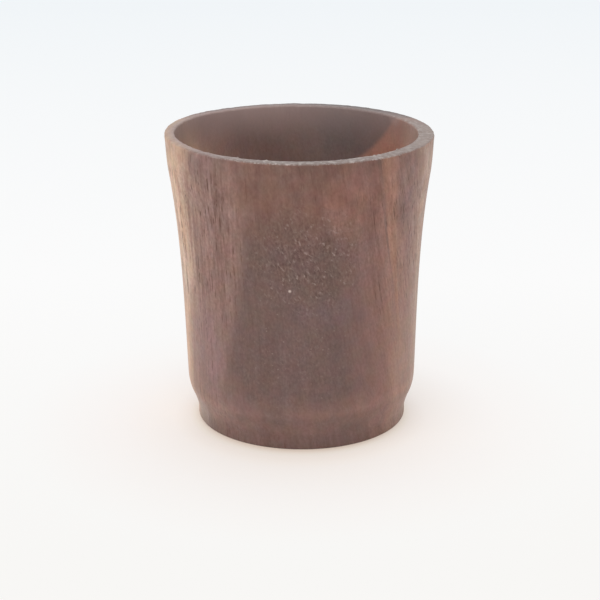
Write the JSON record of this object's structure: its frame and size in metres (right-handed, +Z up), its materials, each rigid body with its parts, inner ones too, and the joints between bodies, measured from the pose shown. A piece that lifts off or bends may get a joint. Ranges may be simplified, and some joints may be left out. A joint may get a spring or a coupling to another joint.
{
  "type": "schnapps cup",
  "caption": "Small turned walnut drinking cup for spirits, with a thin wall that flares to a plain lip, a soft arris and cove above a low foot, and a deep round bore.",
  "frame": {"origin": "centre of the flat underside of the foot, on the surface that the cup stands on", "axes": "+Z up along the axis of the outside, from the foot to the lip; +X to the right, where the wall is thickest; -Y towards the viewer"},
  "size_m": [0.0494, 0.0494, 0.055],
  "materials": {
    "oiled_walnut": "satin oil or wax in open pores"
  },
  "bodies": {
    "root": {"turned_cup": "oiled_walnut"}
  },
  "joints": []
}
